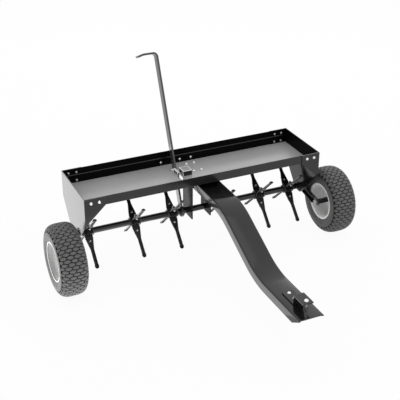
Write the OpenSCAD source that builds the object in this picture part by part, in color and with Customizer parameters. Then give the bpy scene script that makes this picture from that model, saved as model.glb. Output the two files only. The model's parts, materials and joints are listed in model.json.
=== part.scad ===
// Tow behind aerator: a load tray on two tyred wheels, six free-running star wheels with coring spoons on one axle,
// a lever that rocks the axle and its wheel arms, and a long bent drawbar with a pin hitch.
// Frame: X runs along the axle, the drawbar points to -Y, +Z is up and the tyres touch Z = 0.

/* [Tray] */
// Length of the tray between the outer faces of the end panels
tray_len = 1000; // [880:10:1200]
// Depth of the tray from the front lip to the rear wall
tray_depth = 268; // [250:2:300]
// Height of the rear wall above the floor
tray_wall = 61; // [50:1:90]
// Height of the front lip
lip_h = 36; // [28:1:44]
// Thickness of the tray sheet
sheet = 2; // [1.5:0.1:3]
// Thickness of the end panels
panel_t = 3; // [2.5:0.5:5]
// Width of the front gusset on each end panel
gusset_w = 82; // [74:1:100]

/* [Axle and star wheels] */
// Diameter of the axle bar
axle_d = 25.4; // [22:0.2:30]
// Radius swept by the spoon tips
star_r = 152; // [140:1:165]
// Running gap between the spoon tips and the tray floor
star_gap = 2; // [1.5:0.5:10]
// Width of a spoon at its bolted root
spoon_root_w = 32; // [28:1:44]
// Outer diameter of the coring tube of a spoon
spoon_tube_d = 15; // [11:0.5:16]
// Thickness of the spoon plate
spoon_t = 4; // [3:0.5:5]

/* [Wheels] */
// Outer radius of the tyres
wheel_r = 140; // [130:1:155]
// Width of the tyres
wheel_w = 108; // [96:1:124]
// Radius of the rim flange
rim_r = 78; // [66:0.5:80]
// Gap between an end panel and its tyre
wheel_gap = 25; // [25:1:40]
// How far the wheel centres lie in front of the axle
wheel_fwd = 126; // [110:1:140]
// How far the wheel centres lie below the axle
wheel_drop = 22; // [10:1:40]
// Diameter of the wheel spindles
spindle_d = 16; // [14:0.5:18]

/* [Lever] */
// Length of the lever from the axle to its top
lever_len = 645; // [560:5:720]
// Backward lean of the lever at rest
lever_lean = 22.2; // [18:0.2:24]
// Width of the lever bar
lever_w = 30; // [26:1:36]
// Thickness of the lever bar
lever_t = 8; // [6:0.5:9]
// Length of the bent handle
handle_len = 82; // [70:1:110]
// Position of the lever along the axle
lever_x = -50; // [-52:1:-46]

/* [Drawbar] */
// Width of the drawbar channel
drawbar_w = 96; // [88:1:104]
// Position of the drawbar's middle along the axle
drawbar_x = 30; // [28:1:34]
// Thickness of the drawbar plate
drawbar_t = 4.8; // [4:0.2:6]
// Height of the drawbar's side flanges
drawbar_h = 36; // [30:1:42]
// Distance from the front lip to the drawbar's front end
drawbar_reach = 737; // [700:1:820]
// How far the drawbar's front end lies below its rear end
drawbar_drop = 135; // [110:1:150]
// Angle of the sloping part of the drawbar
drawbar_angle = 25.3; // [20:0.1:30]
// Bend radius on the top face of the drawbar
drawbar_bend = 300; // [200:5:340]

/* [Hitch] */
// Gap between the hitch plates for the tow plate of the tractor
hitch_gap = 35; // [28:1:44]
// Width of the hitch bracket
hitch_w = 41; // [36:1:50]
// Thickness of the hitch bracket
hitch_t = 5; // [4:0.5:7]
// Diameter of the hitch pin
pin_d = 12; // [10:0.5:16]

/* [Hidden] */
$fn = 64;

// fits and fasteners
run_fit = 0.05;
hole_fit = 0.2;
side_gap = 0.4;
bolt_d = 8;
small_bolt_d = 6;
hole_depth = 20;
cut = 1;

// heights
wheel_z = wheel_r;
axle_z = wheel_z + wheel_drop;
floor_under = axle_z + star_r + star_gap;
floor_z = floor_under + sheet;
rim_z = floor_z + tray_wall;
lip_z = rim_z - lip_h;
axle_r = axle_d / 2;

// the tray in side view
axle_y = 0.53 * tray_depth;
slope_y = 0.3 * tray_depth;
bead_z = floor_z + 0.54 * tray_wall;
bead = 2;

// end panels
panel_x = tray_len / 2;
pan_half = panel_x - panel_t;
panel_straight = 107;
panel_low = axle_z - 22;
panel_foot = 19;
gusset_low = rim_z - 110;
bolt_edge = 26;
bolt_pitch = 32;
front_bolt_x = [panel_x - bolt_edge, panel_x - bolt_edge - bolt_pitch];
front_bolt_z = rim_z - lip_h / 2;
rear_bolt_z = [rim_z - 0.28 * tray_wall, rim_z - 0.85 * tray_wall];
rear_flange_h = tray_wall + sheet;
brace_bolt_x = [-85, -1, 48];
brace_t = 4;
brace_z = floor_z + 0.23 * tray_wall;
bush_r = axle_r + 3.5;
bush_flange_r = axle_r + 6;
bush_flange_t = 2;

// drawbar
drawbar_z = floor_under;
drawbar_rear = tray_depth - 14;
front_flat_len = 236;
bend_rise = drawbar_bend * (1 - cos(drawbar_angle));
bend_run = drawbar_bend * sin(drawbar_angle);
slope_rise = drawbar_drop - 2 * bend_rise;
slope_run = slope_rise / tan(drawbar_angle);
bend_steps = 16;
front_flat_y = front_flat_len - drawbar_reach;
drawbar_flat_y = front_flat_y + 2 * bend_run + slope_run;
front_z = drawbar_z - drawbar_drop;
front_cut = 1.25 * drawbar_h;
drawbar_left = drawbar_x - drawbar_w / 2;
drawbar_right = drawbar_x + drawbar_w / 2;
deck_bolt_x = drawbar_x + 3;
deck_bolt_dx = 17;
deck_bolt_y = [axle_y + 23, axle_y + 96];

// hangers
hanger_t = 5;
hanger_half = 44;
hanger_toe = 24;
hanger_flange_w = 58;
hanger_inset = 20;
hanger_bolt_dy = 28;
hanger_front = axle_y - hanger_half;
hanger_rear = axle_y + hanger_half;
hanger_low = axle_z - hanger_toe;
hanger_left_x = drawbar_left - hanger_t;
hanger_right_x = drawbar_right - hanger_inset;
hanger_flange_z = drawbar_z - drawbar_t - hanger_t;
hanger_bolt_y = [axle_y - hanger_bolt_dy, axle_y + hanger_bolt_dy];
hanger_bolt_z = drawbar_z - 0.6 * drawbar_h;

// hitch
pin_setback = 39;
hitch_nose = 14;
hitch_plate_len = 64;
hitch_foot_len = 74;
hitch_bolt_edge = 14;
hitch_bolt_pitch = 36;
hitch_pin_y = pin_setback - drawbar_reach;
hitch_front = hitch_pin_y - hitch_nose;
hitch_back = hitch_front + hitch_plate_len;
hitch_foot = hitch_back + hitch_foot_len;
hitch_top = front_z + hitch_gap;
hitch_bolt_y = [hitch_foot - hitch_bolt_edge, hitch_foot - hitch_bolt_edge - hitch_bolt_pitch];
pin_r = pin_d / 2;
pin_tail = 32;
pin_head_r = pin_r + 2.5;
pin_head_h = 8;

// lever and its slot, whose rear end is the lever's stop
slot_half = lever_t / 2 + 4;
slot_front = 50;
slot_rear = axle_y + (floor_z - axle_z) * tan(lever_lean) + lever_w / 2 / cos(lever_lean) + side_gap;
eye_r = axle_r + 11;
guide_h = 22;
guide_front = axle_y - 4;
guide_deep = 44;
guide_t = 3;
guide_left_w = 8;
guide_right_w = 39;
handle_bend = 12;
tip_angle = 14;
tip_len = 26;
collar_w = 4;
collar_r = axle_r + 6;

// wheels
wheel_x = panel_x + wheel_gap + wheel_w / 2;
wheel_y = axle_y - wheel_fwd;
arm_in = panel_x + 3;
arm_out = panel_x + 18;
arm_web = 4;
arm_h = 30;
arm_len = sqrt(wheel_fwd * wheel_fwd + wheel_drop * wheel_drop);
arm_dip = atan2(wheel_drop, wheel_fwd);
spindle_r = spindle_d / 2;
spindle_head_h = 9;
hub_in = wheel_x - 10;
hub_out = wheel_x + 9;
hub_bush_r = spindle_r + 3;
hub_r = spindle_r + 8;
bush_len = 8;
spacer_r = spindle_r + 3;
nut_h = 8;
nut_washer_t = 3;
spindle_end = hub_out + nut_washer_t + nut_h + 2;
barrel_r = rim_r - 13;
rim_half = 44;
rim_t = 3;
cover_in = spindle_end - wheel_x + 2;
cover_step = 6;
tyre_t = 7;
crown_power = 0.42;
wall_power = 0.6;

// star wheels
star_left_gap = 50.5;
star_right_gap = 56;
star_lever_gap = 41.5;
star_drawbar_gap = 55;
star_left = star_left_gap - panel_x;
star_right = panel_x - star_right_gap;
star_mid_left = lever_x - star_lever_gap;
star_mid_right = drawbar_right + star_drawbar_gap;
star_x = [star_left, star_left + 0.5475 * (star_mid_left - star_left), star_mid_left, star_mid_right,
    star_mid_right + 0.5548 * (star_right - star_mid_right), star_right];
hub_half = axle_r + 2.3;
// the outer faces of the spoons lie in planes through the axle
star_face = -spoon_t;
fin_t = 5;
fin_r = 54;
fin_w = 20;
hub_len = spoon_root_w + 4;
bar_angle = [46.4, 136.4];
tube_r = spoon_tube_d / 2;
tube_wall = 2;
cup_swell = 1.5;
cup_r = tube_r + cup_swell;
root_r = 28;
neck_r = 74;
tube_start = fin_r + 2;
tube_len = star_r - cup_r - tube_start;
tube_open = 7;
bolt_ring = 38;
washer_t = 3;
washer_r = axle_r + 5;

// the middle of the outer box comes to Y = 0
y_rear = axle_y + lever_len * sin(lever_lean) + lever_w / 2 * cos(lever_lean);
y_off = (drawbar_reach - y_rear) / 2;

paint = [0.06, 0.06, 0.065];
zinc = [0.78, 0.79, 0.8];
rim_grey = [0.78, 0.78, 0.77];
rubber = [0.09, 0.09, 0.095];

// moves a piece from tray coordinates into the frame of the part
module placed() {
    translate([0, y_off, 0]) children();
}

// a solid whose outline is drawn in Y and Z, from x0 to x1
module side_plate(x0, x1, pts) {
    translate([x0, 0, 0])
        rotate([90, 0, 90])
            linear_extrude(x1 - x0) polygon(pts);
}

// a cylinder along X from x0 to x1
module x_rod(r, x0, x1) {
    translate([x0, 0, 0]) rotate([0, 90, 0]) cylinder(r = r, h = x1 - x0);
}

// a ring along X from x0 to x1
module x_ring(r, bore, x0, x1) {
    difference() {
        x_rod(r, x0, x1);
        x_rod(bore, x0 - cut, x1 + cut);
    }
}

// a hexagon bolt along +Z: the head lies below zero and the nut above the grip
module hex_bolt(d, grip) {
    translate([0, 0, -0.22 * d]) cylinder(d = 2.1 * d, h = 0.22 * d);
    translate([0, 0, -0.7 * d]) cylinder(d = 1.75 * d, h = 0.6 * d, $fn = 6);
    cylinder(d = d, h = grip + 1.1 * d);
    translate([0, 0, grip]) cylinder(d = 1.85 * d, h = 0.8 * d, $fn = 6);
}

// the holes of a bolt group, along the same axis as its bolts
module bolt_hole(d, depth) {
    translate([0, 0, -depth]) cylinder(d = d + 2 * hole_fit, h = 2 * depth);
}

module front_spots() {
    for (side = [-1, 1])
        for (x = front_bolt_x)
            translate([side * x, -panel_t, front_bolt_z]) rotate([-90, 0, 0]) children();
}

module rear_spots() {
    for (side = [-1, 1])
        for (x = front_bolt_x)
            for (z = rear_bolt_z)
                translate([side * x, tray_depth - sheet, z]) rotate([-90, 0, 0]) children();
}

module brace_spots() {
    for (x = brace_bolt_x)
        translate([x, tray_depth - sheet, brace_z]) rotate([-90, 0, 0]) children();
}

module deck_spots(rows) {
    for (dx = [-deck_bolt_dx, deck_bolt_dx])
        for (y = rows)
            translate([deck_bolt_x + dx, y, floor_z]) rotate([180, 0, 0]) children();
}

module hanger_spots() {
    for (y = hanger_bolt_y)
        translate([hanger_left_x, y, hanger_bolt_z]) rotate([0, 90, 0]) children();
}

module hitch_spots() {
    for (y = hitch_bolt_y)
        translate([drawbar_x, y, front_z + hitch_t]) rotate([180, 0, 0]) children();
}

module tray_pan() color(paint) placed() difference() {
    union() {
        side_plate(-pan_half, pan_half, [[0, rim_z], [0, lip_z], [slope_y, floor_under], [tray_depth, floor_under],
            [tray_depth, rim_z], [tray_depth - sheet, rim_z], [tray_depth - sheet, floor_z],
            [slope_y + sheet / 3, floor_z], [sheet, lip_z + sheet], [sheet, rim_z]]);
        side_plate(-pan_half, pan_half, [[tray_depth - sheet, bead_z - bead], [tray_depth - sheet, bead_z + bead],
            [tray_depth - sheet - bead, bead_z]]);
    }
    translate([lever_x - slot_half, slot_front, floor_under - cut])
        cube([2 * slot_half, slot_rear - slot_front, lip_h]);
    front_spots() bolt_hole(bolt_d, hole_depth);
    rear_spots() bolt_hole(bolt_d, hole_depth);
    brace_spots() bolt_hole(small_bolt_d, hole_depth);
    deck_spots(deck_bolt_y) bolt_hole(bolt_d, hole_depth);
}

// the right end panel; its twin is its mirror image
module end_panel() difference() {
    union() {
        side_plate(pan_half, panel_x, [[-panel_t, rim_z], [-panel_t, gusset_low], [axle_y - panel_foot, panel_low],
            [axle_y + panel_foot, panel_low], [tray_depth + panel_t, rim_z - panel_straight],
            [tray_depth + panel_t, rim_z]]);
        rotate([90, 0, 0]) linear_extrude(panel_t)
            polygon([[panel_x, rim_z], [panel_x - gusset_w, rim_z],
                [panel_x - gusset_w, lip_z], [panel_x - panel_t, gusset_low], [panel_x, gusset_low]]);
        translate([panel_x - gusset_w, tray_depth, rim_z - rear_flange_h])
            cube([gusset_w, panel_t, rear_flange_h]);
    }
    translate([0, axle_y, axle_z]) x_rod(bush_r, pan_half - cut, panel_x + cut);
    front_spots() bolt_hole(bolt_d, hole_depth);
    rear_spots() bolt_hole(bolt_d, hole_depth);
}

module right_end_panel() color(paint) placed() end_panel();

module left_end_panel() color(paint) placed() mirror([1, 0, 0]) end_panel();

module rear_brace() color(paint) placed() difference() {
    translate([brace_bolt_x[0] - 22, tray_depth, floor_under])
        cube([brace_bolt_x[2] - brace_bolt_x[0] + 44, brace_t, 0.5 * tray_wall]);
    brace_spots() bolt_hole(small_bolt_d, hole_depth);
}

// the drawbar's side view: a line at depth o below its top face, from the rear end to y_end
function channel_path(o, y_end) = concat(
    [[drawbar_rear, drawbar_z - o]],
    [for (k = [0:bend_steps])
        let (a = drawbar_angle * k / bend_steps, r = drawbar_bend - o)
            [drawbar_flat_y - r * sin(a), drawbar_z - drawbar_bend + r * cos(a)]],
    [for (k = [bend_steps:-1:0])
        let (a = drawbar_angle * k / bend_steps, r = drawbar_bend + o)
            [front_flat_y + r * sin(a), front_z + drawbar_bend - r * cos(a)]],
    [[y_end, front_z - o]]);

function reversed(list) = [for (i = [len(list) - 1:-1:0]) list[i]];

top_path = channel_path(0, -drawbar_reach);
plate_outline = concat(top_path, reversed(channel_path(drawbar_t, -drawbar_reach)));
flange_outline = concat(top_path, [[-drawbar_reach, front_z - drawbar_t]],
    reversed(channel_path(drawbar_h, front_cut - drawbar_reach)));

module drawbar() color(paint) placed() difference() {
    union() {
        side_plate(drawbar_left, drawbar_right, plate_outline);
        side_plate(drawbar_left, drawbar_left + drawbar_t, flange_outline);
        side_plate(drawbar_right - drawbar_t, drawbar_right, flange_outline);
    }
    deck_spots(deck_bolt_y) bolt_hole(bolt_d, hole_depth);
    hanger_spots() bolt_hole(bolt_d, hole_depth);
    hitch_spots() bolt_hole(bolt_d, hole_depth);
    translate([drawbar_x, hitch_pin_y, front_z - 2 * drawbar_t]) cylinder(r = pin_r + run_fit, h = 3 * drawbar_t);
}

module hanger_left() color(paint) placed() difference() {
    translate([hanger_left_x, hanger_front, hanger_low])
        cube([hanger_t, hanger_rear - hanger_front, drawbar_z - hanger_low]);
    translate([0, axle_y, axle_z]) x_rod(bush_r, hanger_left_x - cut, hanger_left_x + hanger_t + cut);
    hanger_spots() bolt_hole(bolt_d, hole_depth);
}

module hanger_right() color(paint) placed() difference() {
    union() {
        translate([hanger_right_x, hanger_front, hanger_low])
            cube([hanger_t, hanger_rear - hanger_front, hanger_flange_z + hanger_t - hanger_low]);
        translate([hanger_right_x - hanger_flange_w, hanger_front, hanger_flange_z])
            cube([hanger_flange_w, hanger_rear - hanger_front, hanger_t]);
    }
    translate([0, axle_y, axle_z]) x_rod(bush_r, hanger_right_x - cut, hanger_right_x + hanger_t + cut);
    deck_spots([deck_bolt_y[0]]) bolt_hole(bolt_d, hole_depth + 2 * hanger_t);
}

// a flanged bush in a plate that runs from x0 to x0 + t, with its flange against the high side
module flanged_bush(x0, t) {
    translate([0, axle_y, axle_z]) {
        x_ring(bush_flange_r, axle_r + run_fit, x0 + t, x0 + t + bush_flange_t);
        x_ring(bush_r, axle_r + run_fit, x0, x0 + t);
    }
}

module hanger_bushes() color(zinc) placed() {
    flanged_bush(hanger_left_x, hanger_t);
    flanged_bush(hanger_right_x, hanger_t);
}

module panel_bushes() color(zinc) placed() {
    mirror([1, 0, 0]) flanged_bush(-panel_x, panel_t);
    flanged_bush(-panel_x, panel_t);
}

// an inverted channel that stands on the floor beside the lever slot
module guide(x0, w) {
    side_plate(x0, x0 + w, [[guide_front, floor_z], [guide_front, floor_z + guide_h],
        [guide_front + guide_deep, floor_z + guide_h], [guide_front + guide_deep, floor_z],
        [guide_front + guide_deep - guide_t, floor_z], [guide_front + guide_deep - guide_t, floor_z + guide_h - guide_t],
        [guide_front + guide_t, floor_z + guide_h - guide_t], [guide_front + guide_t, floor_z]]);
}

module lever_guides() color(paint) placed() {
    guide(lever_x - slot_half - guide_left_w, guide_left_w);
    guide(lever_x + slot_half, guide_right_w);
}

module hitch_bracket() color(paint) placed() difference() {
    side_plate(drawbar_x - hitch_w / 2, drawbar_x + hitch_w / 2, [[hitch_front, hitch_top],
        [hitch_back - hitch_t, hitch_top], [hitch_back - hitch_t, front_z], [hitch_foot, front_z],
        [hitch_foot, front_z + hitch_t], [hitch_back, front_z + hitch_t], [hitch_back, hitch_top + hitch_t],
        [hitch_front, hitch_top + hitch_t]]);
    translate([drawbar_x, hitch_pin_y, hitch_top - cut]) cylinder(r = pin_r + run_fit, h = hitch_t + 2 * cut);
    hitch_spots() bolt_hole(bolt_d, hole_depth);
}

module front_bolts() color(zinc) placed() front_spots() hex_bolt(bolt_d, panel_t + sheet);

module rear_bolts() color(zinc) placed() rear_spots() hex_bolt(bolt_d, panel_t + sheet);

module brace_bolts() color(zinc) placed() brace_spots() hex_bolt(small_bolt_d, brace_t + sheet);

module deck_bolts() color(zinc) placed() {
    deck_spots([deck_bolt_y[0]]) hex_bolt(bolt_d, sheet + drawbar_t + hanger_t);
    deck_spots([deck_bolt_y[1]]) hex_bolt(bolt_d, sheet + drawbar_t);
}

module hanger_bolts() color(zinc) placed() hanger_spots() hex_bolt(bolt_d, hanger_t + drawbar_t);

module hitch_bolts() color(zinc) placed() hitch_spots() hex_bolt(bolt_d, hitch_t + drawbar_t);

module hitch_pin() color(zinc) placed() translate([drawbar_x, hitch_pin_y, 0]) {
    translate([0, 0, front_z - drawbar_t - pin_tail]) cylinder(r1 = pin_r - 3, r2 = pin_r, h = 6);
    translate([0, 0, front_z - drawbar_t - pin_tail + 6])
        cylinder(r = pin_r, h = hitch_top + hitch_t - front_z + drawbar_t + pin_tail - 6);
    translate([0, 0, hitch_top + hitch_t]) cylinder(r = pin_head_r, h = pin_head_h);
}

module axle_bar() color(paint) placed() translate([0, axle_y, axle_z]) x_rod(axle_r, -arm_out, arm_out);

module star_washers() color(zinc) placed() translate([0, axle_y, axle_z])
    for (x = star_x)
        for (side = [-1, 1]) {
            inner = side * (hub_len / 2 + side_gap);
            x_ring(washer_r, axle_r, x + min(inner, inner + side * washer_t), x + max(inner, inner + side * washer_t));
        }

// the lever stands along +Z here and leans back when it is placed
module lever_bar() {
    half = lever_t / 2;
    bar_top = lever_len - handle_bend - lever_t;
    tip_x = tip_len - handle_len;
    difference() {
        union() {
            x_rod(eye_r, -half, half);
            translate([-half, -lever_w / 2, 0]) cube([lever_t, lever_w, bar_top]);
        }
        x_rod(axle_r, -lever_t, lever_t);
    }
    translate([-half - handle_bend, 0, bar_top])
        rotate([90, 0, 0])
            rotate_extrude(angle = 90) translate([handle_bend, -lever_w / 2]) square([lever_t, lever_w]);
    translate([tip_x, -lever_w / 2, lever_len - lever_t])
        cube([-half - handle_bend - tip_x, lever_w, lever_t]);
    translate([tip_x, 0, lever_len])
        rotate([0, -tip_angle, 0]) translate([-tip_len, -lever_w / 2, -lever_t]) cube([tip_len, lever_w, lever_t]);
}

module lever() color(paint) placed() translate([lever_x, axle_y, axle_z]) rotate([-lever_lean, 0, 0]) lever_bar();

module lever_collars() color(paint) placed() translate([lever_x, axle_y, axle_z]) {
    x_ring(collar_r, axle_r, -lever_t / 2 - collar_w, -lever_t / 2);
    x_ring(collar_r, axle_r, lever_t / 2, lever_t / 2 + collar_w);
}

// the right wheel arm lies along -Y from the axle and dips to the wheel centre
module wheel_arm() translate([0, axle_y, axle_z]) rotate([arm_dip, 0, 0]) difference() {
    union() {
        x_rod(eye_r, arm_out - arm_web, arm_out);
        side_plate(arm_out - arm_web, arm_out, [[0, arm_h / 2], [-arm_len - 10, arm_h / 2],
            [-arm_len - 18, -arm_h / 2 + 8], [-arm_len - 4, -arm_h / 2], [0, -arm_h / 2]]);
        for (z = [-arm_h / 2, arm_h / 2 - arm_web])
            translate([arm_in, 17 - arm_len, z]) cube([arm_out - arm_in, arm_len - 17 - eye_r, arm_web]);
    }
    x_rod(axle_r, arm_out - 2 * arm_web, arm_out + cut);
    translate([0, -arm_len, 0]) x_rod(spindle_r + hole_fit, arm_out - 2 * arm_web, arm_out + cut);
}

module right_wheel_arm() color(paint) placed() wheel_arm();

module left_wheel_arm() color(paint) placed() mirror([1, 0, 0]) wheel_arm();

module spindle() translate([0, wheel_y, wheel_z]) {
    x_rod(spindle_r, arm_out - arm_web, spindle_end);
    translate([arm_out - arm_web - spindle_head_h, 0, 0])
        rotate([0, 90, 0]) cylinder(r = 1.5 * spindle_r, h = spindle_head_h, $fn = 6);
}

module right_spindle() color(zinc) placed() spindle();

module left_spindle() color(zinc) placed() mirror([1, 0, 0]) spindle();

module spacer() translate([0, wheel_y, wheel_z]) x_ring(spacer_r, spindle_r, arm_out, hub_in - side_gap);

module right_spacer() color(paint) placed() spacer();

module left_spacer() color(paint) placed() mirror([1, 0, 0]) spacer();

module spindle_nut() translate([0, wheel_y, wheel_z]) difference() {
    union() {
        x_rod(2 * spindle_r, hub_out + side_gap, hub_out + nut_washer_t);
        translate([hub_out + nut_washer_t, 0, 0]) rotate([0, 90, 0]) cylinder(r = 1.6 * spindle_r, h = nut_h, $fn = 6);
    }
    x_rod(spindle_r, hub_out - cut, spindle_end);
}

module spindle_nuts() color(zinc) placed() {
    spindle_nut();
    mirror([1, 0, 0]) spindle_nut();
}

// turns a profile of radius and width about the wheel centre's X axis
module wheel_turned() {
    translate([wheel_x, wheel_y, wheel_z]) rotate([0, 90, 0]) rotate_extrude($fn = 96) children();
}

// one half of the tyre's outline at depth d inside its surface
function tyre_outline(d) = [
    for (k = [-10:10])
        let (a = 9 * k, s = sin(a), w = wheel_w / 2 - d, h = wheel_r - d - barrel_r)
            [barrel_r + h * pow(cos(a), crown_power), w * sign(s) * pow(abs(s), wall_power)]];

module tyre() wheel_turned() difference() {
    polygon(tyre_outline(0));
    polygon(tyre_outline(tyre_t));
    translate([0, -wheel_w]) square([barrel_r + rim_t, 2 * wheel_w]);
    rim_flanges();
}

// the two flanges of the rim, which hold the beads of the tyre
module rim_flanges() {
    for (side = [-1, 1])
        translate([barrel_r, side > 0 ? rim_half : -rim_half - rim_t]) square([rim_r - barrel_r, rim_t]);
}

// the rim has an inner web with the hub, and a dished cover over the spindle nut on the outside
module rim() {
    wheel_turned() {
        translate([barrel_r, -rim_half]) square([rim_t, 2 * rim_half]);
        rim_flanges();
        translate([hub_bush_r, 0]) square([barrel_r - hub_bush_r + rim_t / 2, rim_t]);
        translate([hub_bush_r, hub_in - wheel_x]) square([hub_r - hub_bush_r, hub_out - hub_in]);
        polygon([[0, cover_in], [0.7 * barrel_r, cover_in], [0.85 * barrel_r, cover_in + cover_step],
            [barrel_r + rim_t / 2, cover_in + cover_step], [barrel_r + rim_t / 2, cover_in + cover_step + rim_t],
            [0.83 * barrel_r, cover_in + cover_step + rim_t], [0.68 * barrel_r, cover_in + rim_t], [0, cover_in + rim_t]]);
    }
}

module wheel_bushes() translate([0, wheel_y, wheel_z]) {
    x_ring(hub_bush_r, spindle_r + run_fit, hub_in, hub_in + bush_len);
    x_ring(hub_bush_r, spindle_r + run_fit, hub_out - bush_len, hub_out);
}

module right_tyre() color(rubber) placed() tyre();

module left_tyre() color(rubber) placed() mirror([1, 0, 0]) tyre();

module right_rim() color(rim_grey) placed() rim();

module left_rim() color(rim_grey) placed() mirror([1, 0, 0]) rim();

module right_bushes() color(zinc) placed() wheel_bushes();

module left_bushes() color(zinc) placed() mirror([1, 0, 0]) wheel_bushes();

// puts two opposite copies round a star wheel: X stays, +Y becomes the spoon's direction, +Z its outer face;
// the upper and the lower copy of a bar have their outer faces on the same side of the axle
module two_spoons(i, a) {
    translate([star_x[i], axle_y, axle_z]) {
        rotate([a, 0, 0]) children();
        rotate([a + 180, 0, 0]) mirror([0, 0, 1]) children();
    }
}

module four_spoons(i) {
    for (a = bar_angle)
        two_spoons(i, a) children();
}

module star_hub(i) color(paint) placed() difference() {
    union() {
        translate([star_x[i], axle_y, axle_z]) rotate([bar_angle[0], 0, 0])
            translate([-hub_len / 2, -hub_half, -hub_half]) cube([hub_len, 2 * hub_half, 2 * hub_half]);
        four_spoons(i) translate([-fin_w / 2, 0, star_face - fin_t]) cube([fin_w, fin_r, fin_t]);
    }
    translate([0, axle_y, axle_z])
        x_rod(axle_r + run_fit, star_x[i] - hub_len, star_x[i] + hub_len);
    four_spoons(i) translate([0, bolt_ring, star_face]) bolt_hole(bolt_d, 2 * fin_t);
}

// the tube of a spoon with its round tip, pointing straight out from the axle
module spoon_tube(r, y0) {
    translate([0, y0, 0]) rotate([-90, 0, 0]) cylinder(r = r, h = tube_len - y0);
    translate([0, tube_len, 0]) sphere(r = r + cup_swell);
}

module tube_place() {
    translate([0, tube_start, 0]) children();
}

// a spoon whose plate begins at y0
module spoon(y0) {
    half = spoon_root_w / 2;
    difference() {
        union() {
            translate([0, 0, star_face])
                linear_extrude(spoon_t) polygon([[-half, y0], [half, y0],
                    [half, root_r], [tube_r, neck_r], [-tube_r, neck_r], [-half, root_r]]);
            tube_place() difference() {
                spoon_tube(tube_r, 0);
                translate([-star_r, -star_r, 0]) cube(2 * star_r);
            }
        }
        tube_place() spoon_tube(tube_r - tube_wall, tube_open);
        translate([0, bolt_ring, star_face]) bolt_hole(bolt_d, 2 * spoon_t);
    }
}

module star_spoons(i) color(paint) placed() four_spoons(i) spoon(hub_half + side_gap);

module star_bolts(i) color(zinc) placed() four_spoons(i)
    translate([0, bolt_ring, 0]) rotate([180, 0, 0]) hex_bolt(bolt_d, spoon_t + fin_t);

tray_pan();
left_end_panel();
right_end_panel();
rear_brace();
drawbar();
hanger_left();
hanger_right();
hanger_bushes();
panel_bushes();
lever_guides();
hitch_bracket();
front_bolts();
rear_bolts();
brace_bolts();
deck_bolts();
hanger_bolts();
hitch_bolts();
hitch_pin();
axle_bar();
star_washers();
lever();
lever_collars();
left_wheel_arm();
right_wheel_arm();
left_spindle();
right_spindle();
left_spacer();
right_spacer();
spindle_nuts();
left_tyre();
left_rim();
left_bushes();
right_tyre();
right_rim();
right_bushes();
star_hub(0);  // star1_hub
star_spoons(0);  // star1_spoons
star_bolts(0);  // star1_bolts
star_hub(1);  // star2_hub
star_spoons(1);  // star2_spoons
star_bolts(1);  // star2_bolts
star_hub(2);  // star3_hub
star_spoons(2);  // star3_spoons
star_bolts(2);  // star3_bolts
star_hub(3);  // star4_hub
star_spoons(3);  // star4_spoons
star_bolts(3);  // star4_bolts
star_hub(4);  // star5_hub
star_spoons(4);  // star5_spoons
star_bolts(4);  // star5_bolts
star_hub(5);  // star6_hub
star_spoons(5);  // star6_spoons
star_bolts(5);  // star6_bolts
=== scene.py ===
"""Looks of a tow behind aerator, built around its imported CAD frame.

Every piece is in metres in the frame of the CAD part: X runs along the axle, the drawbar points to -Y and
the tyres stand on Z = 0.
"""

import json
import logging
import math
from collections.abc import Iterable, Iterator, Sequence
from contextlib import contextmanager
from dataclasses import dataclass, field
from enum import Enum

import bmesh
import bpy
from bpy.types import ID, Material, Mesh, Node, NodeSocket, NodeTree, Object
from mathutils import Euler, Matrix, Vector

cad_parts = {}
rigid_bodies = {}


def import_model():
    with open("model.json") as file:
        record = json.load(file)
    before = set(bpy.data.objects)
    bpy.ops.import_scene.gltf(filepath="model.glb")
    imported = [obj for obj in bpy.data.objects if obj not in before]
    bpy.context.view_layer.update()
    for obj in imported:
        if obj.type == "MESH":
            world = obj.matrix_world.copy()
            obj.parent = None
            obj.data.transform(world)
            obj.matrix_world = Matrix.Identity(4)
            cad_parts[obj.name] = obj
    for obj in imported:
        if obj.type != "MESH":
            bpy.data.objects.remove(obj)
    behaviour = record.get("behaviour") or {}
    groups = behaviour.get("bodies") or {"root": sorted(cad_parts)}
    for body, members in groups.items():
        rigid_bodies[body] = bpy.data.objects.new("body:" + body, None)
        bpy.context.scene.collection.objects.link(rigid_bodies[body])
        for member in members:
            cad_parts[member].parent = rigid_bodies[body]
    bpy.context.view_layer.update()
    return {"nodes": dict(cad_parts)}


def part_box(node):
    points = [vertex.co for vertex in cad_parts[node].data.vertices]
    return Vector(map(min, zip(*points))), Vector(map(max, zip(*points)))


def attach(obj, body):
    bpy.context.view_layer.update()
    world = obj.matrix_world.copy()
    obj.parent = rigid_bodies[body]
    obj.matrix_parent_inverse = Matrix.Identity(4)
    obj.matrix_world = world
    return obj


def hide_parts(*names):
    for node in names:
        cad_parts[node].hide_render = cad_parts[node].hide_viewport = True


LOG = logging.getLogger("aerator")

for _start_object in list(bpy.data.objects):
    bpy.data.objects.remove(_start_object)
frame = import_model()

Pair = tuple[float, float]
Point = tuple[float, float, float]
Colour = tuple[float, float, float]
Sockets = bpy.types.bpy_prop_collection

# Points closer than this are one, and edges shorter than a sliver are none; both in metres.
MERGE_GAP = 1e-6
SLIVER = 1e-7
# Faces that meet at less than the first angle are one, and edges over the second are rounded; both in degrees.
COPLANAR_ANGLE = 0.5
SHARP_ANGLE = 30.0
ROUNDING = "rounded_edges"
ROUNDING_FACETS = 2
# The span of the grain's tone that the roughness follows.
GRAIN_SPAN = (0.3, 0.7)
STAR_WHEELS = 6


class Slot(str, Enum):
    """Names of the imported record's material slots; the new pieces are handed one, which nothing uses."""

    BLACK = "black_powder"
    ZINC = "zinc"
    ENAMEL = "rim_enamel"
    TYRE = "tyre"


class Axis(Enum):
    """The axis that a turned piece is lathed about."""

    X = "X"
    Z = "Z"


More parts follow.
